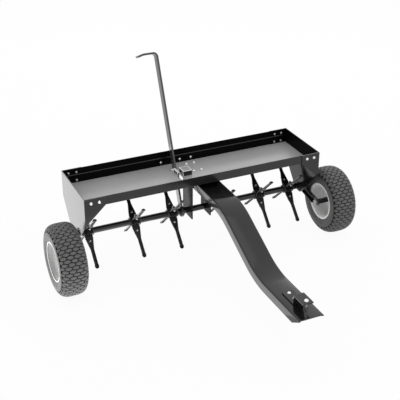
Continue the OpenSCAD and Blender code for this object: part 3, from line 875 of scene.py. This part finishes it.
@dataclass
class Drawbar(SubAssembly):
    """The pressed channel from under the tray to the hitch, with two long bends and a cut-back nose."""

    wall: float = 0.0048
    depth: float = 0.036
    corner: float = 0.007
    bend_radius: float = 0.300
    bend_angle: float = 25.3
    front_flat: float = 0.236
    nose_cut: float = 0.045
    nose_depth: float = 0.0076
    cover: float = 0.03
    facing: float = 0.5
    bend_steps: int = 28
    corner_steps: int = 6
    edge: float = 0.0006

    def covered(self) -> float:
        """Returns the Y from which the tray covers the channel."""
        return lip_y() + self.cover

    def stations(self) -> list[tuple[float, float, float, float]]:
        """Lists the stations of the top face, from the rear end to the nose.

        Returns:
            Y, Z, slope in radians and flange depth at each station.
        """
        low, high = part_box("drawbar")
        top, front, bend = high.z, low.z + self.depth, self.bend_radius
        swing = math.radians(self.bend_angle)
        turns = [swing * k / self.bend_steps for k in range(self.bend_steps + 1)]
        rise, run = bend * (1 - math.cos(swing)), bend * math.sin(swing)
        flat_y = low.y + self.front_flat
        upper_y = flat_y + 2 * run + (top - front - 2 * rise) / math.tan(swing)
        path = [(high.y, top, 0.0), (self.covered(), top, 0.0)]
        path += [(upper_y - bend * math.sin(a), top - bend * (1 - math.cos(a)), a) for a in turns]
        path += [(flat_y + bend * math.sin(a), front + bend * (1 - math.cos(a)), a) for a in reversed(turns)]
        path += [(low.y + self.nose_cut, front, 0.0)]
        return [(*spot, self.depth) for spot in path] + [(low.y, front, 0.0, self.nose_depth)]

    def section(self, depth: float) -> list[Pair]:
        """Draws the channel's section.

        Args:
            depth: Depth of the flanges there.

        Returns:
            X and depth below the top face, once round the section.
        """
        low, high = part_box("drawbar")
        outer, inner, steps = self.corner, self.corner - self.wall, self.corner_steps
        left, right = (low.x + outer, outer), (high.x - outer, outer)
        outside = [(low.x, depth), *arc(left, outer, 180, 270, steps), *arc(right, outer, 270, 360, steps),
                   (high.x, depth)]
        inside = [(high.x - self.wall, depth), *arc(right, inner, 360, 270, steps),
                  *arc(left, inner, 270, 180, steps), (low.x + self.wall, depth)]
        return outside + inside

    def dress(self, bar: Object) -> None:
        """Gives the top face under the tray the near-black paint of painted shade.

        Args:
            bar: The channel.
        """
        # The stretch under the tray is painted shade.
        matt, = self.add_paints(bar, SHADE_PAINT)
        covered = self.covered()
        for face in bar.data.polygons:
            if face.normal.z > self.facing and face.center.y > covered:
                face.material_index = matt

    def build(self) -> None:
        """Sweeps the section along the stations."""
        draft = MeshDraft()
        rings = draft.loft([(x, y + o * math.sin(slope), z - o * math.cos(slope)) for x, o in self.section(depth)]
                           for y, z, slope, depth in self.stations())
        draft.cap(rings[0], rings[-1])
        bar = soften(draft.make("drawbar_channel", self.paints.get(BLACK_PAINT)), self.edge)
        self.dress(bar)
        self.settle(bar, "frame", Slot.BLACK, "drawbar")


@dataclass
class Hitch(SubAssembly):
    """The raised hitch bracket on the drawbar's nose and its drop pin."""

    plate_edge: float = 0.0011
    head_height: float = 0.008
    head_over: float = 0.0025
    dome_share: float = 0.75
    dome_steps: int = 8
    chamfer: float = 0.0006
    tip: float = 0.006
    tip_draw: Pair = (0.0025, 0.0032)
    facets: int = 32

    def build(self) -> None:
        """Builds the bracket and turns the pin."""
        self.soft_node("hitch_bracket", "frame", self.plate_edge)
        low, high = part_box("hitch_pin")
        middle, head = (low + high) / 2, (high.x - low.x) / 2
        shaft, neck, cut = head - self.head_over, high.z - self.head_height, self.chamfer
        rise = self.head_height * self.dome_share
        dome = [(head * sine, high.z - rise * (1 - cosine)) for sine, cosine in quarter(self.dome_steps)]
        point = [(shaft - self.tip_draw[0], low.z + cut), (shaft - self.tip_draw[1], low.z), (0.0, low.z)]
        draft = MeshDraft()
        draft.lathe([*dome, (head, neck + cut), (head - cut, neck), (shaft, neck), (shaft, low.z + self.tip), *point],
                    self.facets, Axis.Z, (middle.x, middle.y, 0.0))
        pin = draft.make("hitch_drop_pin", self.paints.get(ZINC_PLATE))
        self.settle(pin, "hitch_pin", Slot.ZINC, "hitch_pin")


@dataclass
class Fastener:
    """A round-headed bolt with a washer and a hexagon nut; the head lies below zero and the nut above the grip.

    The head, rise, washer, tail and nut sizes are shares of the bolt's diameter.
    """

    size: float
    grip: float
    head: float = 0.8
    facets: int = 20
    dome_steps: int = 6
    rise: float = 0.48
    washer: float = 0.22
    washer_lip: float = 0.0004
    tail: float = 1.1
    tail_cut: float = 0.0006
    nut_half: float = 0.925
    nut_height: float = 0.8
    nut_foot: float = 0.0005
    nut_cut: Pair = (0.0008, 0.0006)
    nut_sides: int = 6

    def make(self, name: str, material: Material) -> Object:
        """Turns the bolt along +Z.

        Args:
            name: Name of the object.
            material: Its material.

        Returns:
            The bolt at the origin.
        """
        d, grip, half = self.size, self.grip, self.size / 2
        head, plate, lip = self.head * d, -self.washer * d, self.washer_lip
        rim, tail = head + lip, grip + self.tail * d
        dome = [(head * sine, plate - self.rise * d * cosine) for sine, cosine in quarter(self.dome_steps)]
        draft = MeshDraft()
        draft.lathe([*dome, (head, plate), (rim, plate + lip), (rim, 0.0), (half, 0.0), (half, grip + d),
                     (half - self.tail_cut, tail), (0.0, tail)], self.facets, Axis.Z)
        nut, top, foot = self.nut_half * d, grip + self.nut_height * d, self.nut_foot
        inward, down = self.nut_cut
        draft.lathe([(half, grip), (nut - foot, grip), (nut, grip + foot), (nut, top - down), (nut - inward, top),
                     (half, top)], self.nut_sides, Axis.Z)
        return draft.make(name, material)


class Turn(Enum):
    """The way that a bolt points; the value is its Euler turn from +Z."""

    BACK = (-math.pi / 2, 0.0, 0.0)
    DOWN = (math.pi, 0.0, 0.0)
    RIGHT = (0.0, math.pi / 2, 0.0)


@dataclass(frozen=True)
class BoltRow:
    """A row of equal bolts in place of a CAD node, with a bolt at every mix of its X, Y and Z places.

    Places lie under the heads, in tray coordinates: Y counts from the plane of the front lip.
    """

    node: str
    turn: Turn
    grip: float
    x: tuple[float, ...]
    y: tuple[float, ...]
    z: tuple[float, ...]
    size: float = 0.008
    head: float = 0.8
    finish: Finish = ZINC_PLATE
    word: str = "set"


END_X = (-0.474, -0.442, 0.474, 0.442)
DECK_X = (0.016, 0.050)
REAR_Y = 0.266
DECK_Z = 0.318


@dataclass
class FrameBolts(SubAssembly):
    """The bolt rows of the frame."""

    rows: tuple[BoltRow, ...] = (
        BoltRow("front_bolts", Turn.BACK, 0.005, END_X, (-0.003,), (0.361,), head=0.72),
        BoltRow("rear_bolts", Turn.BACK, 0.005, END_X, (REAR_Y,), (0.36192, 0.32715), head=0.62, finish=DULL_ZINC),
        BoltRow("brace_bolts", Turn.BACK, 0.006, (-0.085, -0.001, 0.048), (REAR_Y,), (0.33203,), size=0.006),
        BoltRow("deck_bolts", Turn.DOWN, 0.0118, DECK_X, (0.16504,), (DECK_Z,), head=0.7, finish=PALE_ZINC,
                word="front_row"),
        BoltRow("deck_bolts", Turn.DOWN, 0.0068, DECK_X, (0.23804,), (DECK_Z,), head=0.7, finish=PALE_ZINC,
                word="rear_row"),
        BoltRow("hanger_bolts", Turn.RIGHT, 0.0098, (-0.023,), (0.11404, 0.17004), (0.2944,), finish=DULL_ZINC),
        BoltRow("hitch_bolts", Turn.DOWN, 0.0098, (0.030,), (-0.588, -0.624), (0.186,)),
    )

    def build(self) -> None:
        """Builds every bolt row of the frame."""
        lip = lip_y()
        for row in self.rows:
            bolt = Fastener(row.size, row.grip, row.head)
            pattern = bolt.make(f"{row.node}_pattern", self.paints.get(row.finish))
            spots = [(Vector((x, y + lip, z)), Euler(row.turn.value)) for x in row.x for y in row.y for z in row.z]
            self.set_copies(f"{row.node}_{row.word}", pattern, spots, row.finish, "frame", Slot.ZINC, row.node)


@dataclass
class Rocker(SubAssembly):
    """The axle bar with its lever, wheel arms and spindles, and the hangers that carry it."""

    edge: float = 0.0009
    lever_edge: float = 0.0011
    spacer_edge: float = 0.00045

    def build(self) -> None:
        """Builds and dresses the rocking axle and its bearings."""
        for node in ("hanger_left", "hanger_right"):
            self.soft_node(node, "frame", self.edge, HANGER_PAINT)
        self.soft_node("axle_bar", "rocker", self.edge)
        self.soft_node("lever", "rocker", self.lever_edge, LEVER_PAINT)
        for side in Side:
            self.soft_node(f"{side.word}_wheel_arm", "rocker", self.edge)
            self.soft_node(f"{side.word}_spindle", "rocker", self.edge, DULL_ZINC, Slot.ZINC)
            self.soft_node(f"{side.word}_spacer", "rocker", self.spacer_edge)
        for node in ("hanger_bushes", "panel_bushes"):
            self.paint_node(node, BUSH_METAL)
        self.paint_node("lever_collars", BLACK_PAINT)
        self.paint_node("star_washers", SPOON_PAINT)
        self.paint_node("spindle_nuts", DULL_ZINC)


@dataclass
class StarWheel(SubAssembly):
    """One star wheel: a square hub with fins, and four bolted spoons that run from a flat root into a hollow tube."""

    number: int
    hub_edge: float = 0.0008
    root_half: float = 0.016
    root_start: float = 0.0154
    root_end: float = 0.028
    neck: float = 0.074
    neck_steps: int = 8
    plate: float = 0.004
    least_hollow: float = 0.0001
    squareness: float = 0.8
    tube: float = 0.0075
    tube_wall: float = 0.002
    tube_start: float = 0.056
    tube_length: float = 0.087
    tube_steps: int = 3
    curl_lead: float = 0.006
    cup: float = 0.009
    cup_set: float = 0.0015
    cup_tip: float = 0.0006
    cup_steps: int = 7
    bolt_ring: float = 0.038
    bolt: float = 0.008
    grip: float = 0.009
    head: float = 0.58
    bolt_facets: int = 14
    bars: Pair = (46.4, 136.4)
    section_steps: int = 12
    hard_edge: float = 50.0

    def section(self, half: float, sink: float, wall: float, hollow: float, square: float) -> list[Pair]:
        """Draws a trough section.

        Args:
            half: Half of its width.
            sink: Its outside depth.
            wall: Thickness of its edges.
            hollow: Depth of its hollow.
            square: 0 for a round trough, towards 1 for a flat plate.

        Returns:
            X and depth below the edge, down the outside and back along the hollow.
        """
        power = 1.0 - self.squareness * square
        turns = [math.pi * k / self.section_steps for k in range(self.section_steps + 1)]

        def bow(width: float, deep: float, a: float) -> Pair:
            """Returns the point of one bow at an angle."""
            c, s = math.cos(a), max(math.sin(a), 0.0)
            return math.copysign(width * abs(c) ** power, c), deep * s ** power

        return [bow(half, sink, a) for a in turns] + [bow(half - wall, hollow, a) for a in reversed(turns)]

    def stations(self) -> list[tuple[float, list[Pair]]]:
        """Lists the spoon's stations from its root to its tip.

        Returns:
            Y and section at each station.
        """
        wall, lead = self.tube_wall, self.curl_lead
        flat = self.section(self.root_half, self.plate, wall, self.least_hollow, 1.0)
        path = [(self.root_start, flat), (self.root_end, flat)]
        for k in range(1, self.neck_steps + 1):
            y = self.root_end + (self.neck - self.root_end) * k / self.neck_steps
            curl = max(0.0, min(1.0, (y - self.tube_start + lead) / (self.neck - self.tube_start + lead)))
            half = self.root_half + (self.tube - self.root_half) * k / self.neck_steps
            sink = self.plate + (self.tube - self.plate) * curl
            hollow = max((self.tube - wall) * curl, self.least_hollow)
            path.append((y, self.section(half, sink, wall, hollow, 1.0 - curl)))
        tube = self.section(self.tube, self.tube, wall, self.tube - wall, 0.0)
        end = self.tube_start + self.tube_length
        run = end - self.cup - self.neck
        path += [(self.neck + run * k / self.tube_steps, tube) for k in range(1, self.tube_steps + 1)]
        for sine, cosine in quarter(self.cup_steps):
            half = max(self.cup * cosine, self.cup_tip)
            rim = min(wall, half / 2)
            y = end + self.cup * sine - self.cup_set * (1 - sine)
            path.append((y, self.section(half, half, rim, half - rim, 0.0)))
        return path

    def spoon(self) -> Object:
        """Lofts one spoon along +Y with its outer face on Z = 0, looking to +Z.

        Returns:
            The spoon at the origin.
        """
        draft = MeshDraft()
        rings = draft.loft([(x, y, -o) for x, o in shape] for y, shape in self.stations())
        draft.cap(rings[0], rings[-1])
        return draft.make("spoon_pattern", self.paints.get(SPOON_PAINT), smooth=self.hard_edge)

    def build(self) -> None:
        """Builds the hub, the four spoons and their bolts."""
        name = f"star{self.number}"
        axle = centre_of("axle_bar")
        centre = Vector((centre_of(f"{name}_hub").x, axle.y, axle.z))
        self.soft_node(f"{name}_hub", name, self.hub_edge, SPOON_PAINT)
        spoons, bolts = [], []
        for bar in map(math.radians, self.bars):
            spoons += [(centre, Euler((bar, 0, 0))), (centre, Euler((-(bar + math.pi), math.pi, 0)))]
            for turn in (bar, bar + math.pi):
                place = Vector((0, self.bolt_ring, 0))
                place.rotate(Euler((turn, 0, 0)))
                bolts.append((centre + place, Euler((bar + math.pi, 0, 0))))
        self.set_copies(f"{name}_spoon_set", self.spoon(), spoons, SPOON_PAINT, name, Slot.BLACK, f"{name}_spoons")
        bolt = Fastener(self.bolt, self.grip, self.head, self.bolt_facets)
        pattern = bolt.make("star_bolt_pattern", self.paints.get(DULL_ZINC))
        self.set_copies(f"{name}_bolt_set", pattern, bolts, DULL_ZINC, name, Slot.ZINC, f"{name}_bolts")


@dataclass
class RoadWheel(SubAssembly):
    """A pneumatic wheel: a lugged turf tyre on a pale pressed rim with a dished cover.

    The rim's profiles are pairs of a radius and a place along the axle, outwards from the tyre's middle.
    """

    side: Side
    radius: float = 0.140
    half_width: float = 0.054
    barrel: float = 0.065
    rim: float = 0.078
    crown_power: float = 0.42
    wall_power: float = 0.6
    lug_height: float = 0.0032
    lug_root: float = -0.002
    lug_shoulder: float = 0.0008
    lug_grow: tuple[float, float, float] = (1.05, 1.0, 0.9)
    lug_half: Pair = (0.0114, 0.0063)
    lug_flat: float = 0.28
    lug_end: float = 0.42
    lug_hard: float = 60.0
    groove: float = 0.0034
    bead_face: float = 0.049
    bead_flare: float = 0.25
    bead_seat: float = 0.004
    carcass: float = 0.007
    columns: int = 9
    column_pitch: float = 0.01335
    lugs_around: int = 33
    tread_angle: int = 68
    tread_steps: int = 36
    wall_steps: int = 24
    inside_angle: int = 88
    inside_steps: int = 40
    crown_angle: int = 84
    crown_steps: int = 56
    facets: int = 96
    rim_hard: float = 40.0
    cover: tuple[Pair, ...] = ((0.0, 0.0335), (0.050, 0.0335), (0.058, 0.036), (0.066, 0.043), (0.0723, 0.0458))
    lip_out: tuple[Pair, ...] = ((0.0728, 0.0486), (0.0755, 0.0495), (0.0775, 0.0490), (0.078, 0.0470))
    seat: tuple[Pair, ...] = ((0.0765, 0.043), (0.068, 0.041), (0.066, 0.036), (0.066, -0.036), (0.068, -0.041),
                              (0.0765, -0.043))
    lip_in: tuple[Pair, ...] = ((0.078, -0.0470), (0.0775, -0.0490), (0.0745, -0.0495), (0.0695, -0.0478))
    web: tuple[Pair, ...] = (
        (0.069, -0.0445), (0.065, -0.0405), (0.063, -0.034), (0.0625, -0.004), (0.058, 0.0), (0.030, 0.0),
        (0.019, -0.001), (0.0165, -0.004), (0.016, -0.0095), (0.0155, -0.010), (0.011, -0.010), (0.011, 0.009),
        (0.016, 0.009), (0.016, 0.003), (0.062, 0.003), (0.062, 0.0305), (0.0, 0.0305))

    def outline(self, inset: float, first: int, last: int, count: int) -> list[Pair]:
        """Draws the tyre's outline.

        Args:
            inset: Depth below the outer surface.
            first: First angle in degrees, from -90 at one bead.
            last: Last angle in degrees.
            count: Number of stretches.

        Returns:
            Radius and place along the axle.
        """
        points = []
        for k in range(count + 1):
            a = math.radians(first + (last - first) * k / count)
            s, c = math.sin(a), max(math.cos(a), 0.0)
            wide, high = self.half_width - inset, self.radius - inset - self.barrel
            radius = self.barrel + high * c ** self.crown_power
            tuck = self.bead_face - inset + self.bead_flare * max(radius - self.rim, 0.0)
            points.append((radius, math.copysign(min(wide * abs(s) ** self.wall_power, tuck), s)))
        return points

    def lug(self) -> Object:
        """Draws one flat, blunt lens on the flat sheet: X across the tread, Y around as an angle, Z outwards.

        Returns:
            The lug at the origin.
        """
        long, short = self.lug_half[0], self.lug_half[1] / self.radius
        half = [(-1.0, -self.lug_end), (-self.lug_flat, -1.0), (self.lug_flat, -1.0), (1.0, -self.lug_end)]
        plan = half + [(-x, -y) for x, y in half]
        levels = (self.lug_root, self.lug_height - self.lug_shoulder, self.lug_height)
        draft = MeshDraft()
        rings = draft.loft([(x * long * grow, y * short * grow, z) for x, y in plan]
                           for grow, z in zip(self.lug_grow, levels))
        draft.cap(rings[-1])
        return draft.make("lug_pattern", self.paints.get(TYRE_RUBBER), smooth=self.lug_hard)

    def crown(self) -> Object:
        """Draws the crown that the lugs stand on: X across, Z the radius.

        Returns:
            The crown as a curve.
        """
        curve = bpy.data.curves.new("crown_pattern", "CURVE")
        curve.dimensions = "3D"
        points = self.outline(self.groove, -self.crown_angle, self.crown_angle, self.crown_steps)
        spline = curve.splines.new("POLY")
        spline.points.add(len(points) - 1)
        for spot, (radius, across) in zip(spline.points, points):
            spot.co = (across, 0.0, radius, 1.0)
        return add_object("crown_pattern", curve)

    def tread(self) -> Object:
        """Wraps the lugs round the crown about the world's X axis.

        Returns:
            The tread.
        """
        crown, lug = self.crown(), self.lug()
        obj = add_object("tread_pattern", bpy.data.meshes.new("tread_pattern"))
        self.mill.run(obj, self.mill.tread, {
            "Crown": crown, "Lug": lug, "Columns": self.columns, "Lugs Around": self.lugs_around,
            "Column Pitch": self.column_pitch, "Finish": self.paints.get(TYRE_RUBBER)})
        discard(crown, lug)
        return obj

    def tyre(self) -> Object:
        """Turns the carcass and joins the tread to it.

        Returns:
            The tyre as one piece.
        """
        bend, steps = self.tread_angle, self.wall_steps
        outside = [*self.outline(0.0, -90, -bend, steps), *self.outline(self.groove, -bend, bend, self.tread_steps),
                   *self.outline(0.0, bend, 90, steps)]
        inside = self.outline(self.carcass, -self.inside_angle, self.inside_angle, self.inside_steps)
        ring = [spot for spot in (*outside, *reversed(inside)) if spot[0] >= self.rim - self.bead_seat]
        ring.append(ring[0])
        deep = outside[steps][0] - self.groove
        # The crown between the lugs gets near-black rubber: painted shade in the grooves.
        finishes = (WALL_RUBBER, GROOVE_SHADE, TYRE_RUBBER)
        wall, groove, lugs = range(len(finishes))
        draft = MeshDraft()
        draft.lathe(ring, self.facets, Axis.X, paints=[groove if radius > deep else wall for radius, _ in ring])
        tyre = draft.make(f"{self.side.word}_turf_tyre", *map(self.paints.get, finishes))
        tread = self.tread()
        tread.data.polygons.foreach_set("material_index", [lugs] * len(tread.data.polygons))
        with edited(tyre.data) as work:
            work.from_mesh(tread.data)
            bmesh.ops.translate(work, verts=work.verts, vec=centre_of(f"{self.side.word}_tyre"))
        discard(tread)
        return tyre

    def pressed_rim(self) -> Object:
        """Turns the rim: cover disc, rolled lips, barrel, inner web and hub.

        Returns:
            The rim as one closed shell.
        """
        # Three tones of one enamel paint the rim's light: disc and seat darker as painted shade, web lighter as
        # painted light, rolled lips near white as a painted highlight.
        finishes = (DISC_SHADE_ENAMEL, LIP_HIGHLIGHT_ENAMEL, WEB_LIGHT_ENAMEL)
        disc, lip, web = range(len(finishes))
        stretches = ((self.cover, disc), (self.lip_out, lip), (self.seat, disc), (self.lip_in, lip), (self.web, web))
        profile = [(radius, along * self.side.value) for pairs, _ in stretches for radius, along in pairs]
        paints = [paint for pairs, paint in stretches for _ in pairs]
        draft = MeshDraft()
        draft.lathe(profile, self.facets, Axis.X, tuple(centre_of(f"{self.side.word}_tyre")), paints)
        return draft.make(f"{self.side.word}_pressed_rim", *map(self.paints.get, finishes), smooth=self.rim_hard)

    def build(self) -> None:
        """Builds the tyre, the rim and the bushes."""
        word = self.side.word
        self.settle(self.tyre(), f"{word}_wheel", Slot.TYRE, f"{word}_tyre")
        self.settle(self.pressed_rim(), f"{word}_wheel", Slot.ENAMEL, f"{word}_rim")
        self.paint_node(f"{word}_bushes", BUSH_METAL)


# ---------------------------------------------------------------- studio


@dataclass(frozen=True)
class Card:
    """A soft lamp: its centre, size, the point it faces and its radiance."""

    name: str
    centre: Point
    size: Pair
    aim: Point
    radiance: float

    def hang(self) -> None:
        """Adds the lamp, unseen by the camera."""
        light = bpy.data.lights.new(self.name, "AREA")
        light.shape, light.size, light.size_y = "RECTANGLE", *self.size
        light.energy = self.radiance * math.pi * self.size[0] * self.size[1]
        lamp = add_object(self.name, light)
        lamp.location = self.centre
        lamp.rotation_euler = (Vector(self.aim) - Vector(self.centre)).to_track_quat("-Z", "Y").to_euler()
        lamp.visible_camera = False


@dataclass
class Studio:
    """The pale floor, the white surround, the soft lamps and the camera at the photograph's angle."""

    floor_half: float = 30.0
    floor_tone: Colour = (0.8, 0.8, 0.8)
    floor_glow: float = 0.94
    surround: float = 0.95
    azimuth: float = -25.212
    elevation: float = 28.024
    roll: float = 0.306
    station: Point = (-1.3456, -2.6192, 1.9174)
    lens: float = 81.006
    sensor: float = 36.0
    cards: tuple[Card, ...] = (
        Card("back_softbox", (1.28, 3.0, 1.82), (3.4, 0.62), (0.0, 0.3, 0.3), 2.3),
        Card("left_floor_card", (-0.62, 0.45, 0.001), (1.0, 1.5), (-0.62, 0.45, 1.0), 1.2),
        Card("overhead_softbox", (0.2, -0.6, 3.2), (2.4, 2.4), (0.0, 0.1, 0.2), 0.5),
    )

    @staticmethod
    def _seen(g: Graph) -> NodeSocket:
        """Tells the rays that see the studio from those that only carry its light.

        Args:
            g: The graph to add to.

        Returns:
            1 for camera, glossy and transmission rays, or else 0.
        """
        path = g.add("ShaderNodeLightPath").outputs
        shine = g.math("MAXIMUM", path["Is Glossy Ray"], path["Is Transmission Ray"])
        return g.math("MAXIMUM", path["Is Camera Ray"], shine)

    def floor(self) -> None:
        """Lays the floor, which reads white and keeps a faint shadow."""
        h = self.floor_half
        mesh = bpy.data.meshes.new("studio_floor")
        mesh.from_pydata([(-h, -h, 0), (h, -h, 0), (h, h, 0), (-h, h, 0)], [], [(0, 1, 2, 3)])
        material = bpy.data.materials.new("studio_floor")
        material.use_nodes = True
        g = Graph(material.node_tree)
        matt = g.add("ShaderNodeBsdfDiffuse", {"Color": (*self.floor_tone, 1.0)})
        glow = g.add("ShaderNodeEmission")
        share = g.math("MULTIPLY", self._seen(g), self.floor_glow)
        mix = g.add("ShaderNodeMixShader", {"Fac": share, 1: matt, 2: glow})
        g.add("ShaderNodeOutputMaterial", {"Surface": mix})
        mesh.materials.append(material)
        obj = add_object("studio_floor", mesh)

    def world(self) -> None:
        """Makes the surround white to see and plain as light."""
        world = bpy.data.worlds.new("studio_surround")
        world.use_nodes = True
        g = Graph(world.node_tree)
        lift = g.math("MULTIPLY", self._seen(g), 1.0 - self.surround)
        strength = g.math("ADD", lift, self.surround)
        back = g.add("ShaderNodeBackground", {"Color": (1.0, 1.0, 1.0, 1.0), "Strength": strength})
        g.add("ShaderNodeOutputWorld", {"Surface": back})
        bpy.context.scene.world = world

    def camera(self) -> None:
        """Sets the camera where the photograph was taken from."""
        az, el, roll = (math.radians(a) for a in (self.azimuth, self.elevation, self.roll))
        right = Vector((math.cos(az), math.sin(az), 0.0))
        back = Vector((math.sin(az) * math.cos(el), -math.cos(az) * math.cos(el), math.sin(el)))
        up = back.cross(right)
        across = math.cos(roll) * right + math.sin(roll) * up
        above = -math.sin(roll) * right + math.cos(roll) * up
        data = bpy.data.cameras.new("photo_camera")
        data.lens, data.sensor_width = self.lens, self.sensor
        camera = add_object("photo_camera", data)
        turn = Matrix((across, above, back)).transposed().to_4x4()
        camera.matrix_world = Matrix.Translation(self.station) @ turn
        bpy.context.scene.camera = camera

    def build(self) -> None:
        """Builds the whole studio."""
        self.floor()
        self.world()
        for card in self.cards:
            card.hang()
        self.camera()
        bpy.context.scene.view_settings.view_transform = "Standard"
        LOG.info("studio: %d lamps", len(self.cards))


def main() -> None:
    """Builds the studio and every sub-assembly in order."""
    logging.basicConfig(level=logging.INFO, format="%(name)s: %(message)s")
    Studio().build()
    paints, mill = Paintbox(), NodeMill()
    parts: list[SubAssembly] = [Tray(paints, mill), Drawbar(paints, mill), Hitch(paints, mill),
                                FrameBolts(paints, mill), Rocker(paints, mill)]
    parts += [StarWheel(paints, mill, number) for number in range(1, STAR_WHEELS + 1)]
    parts += [RoadWheel(paints, mill, side) for side in Side]
    for part in parts:
        part.build()


if __name__ == "__main__":
    main()
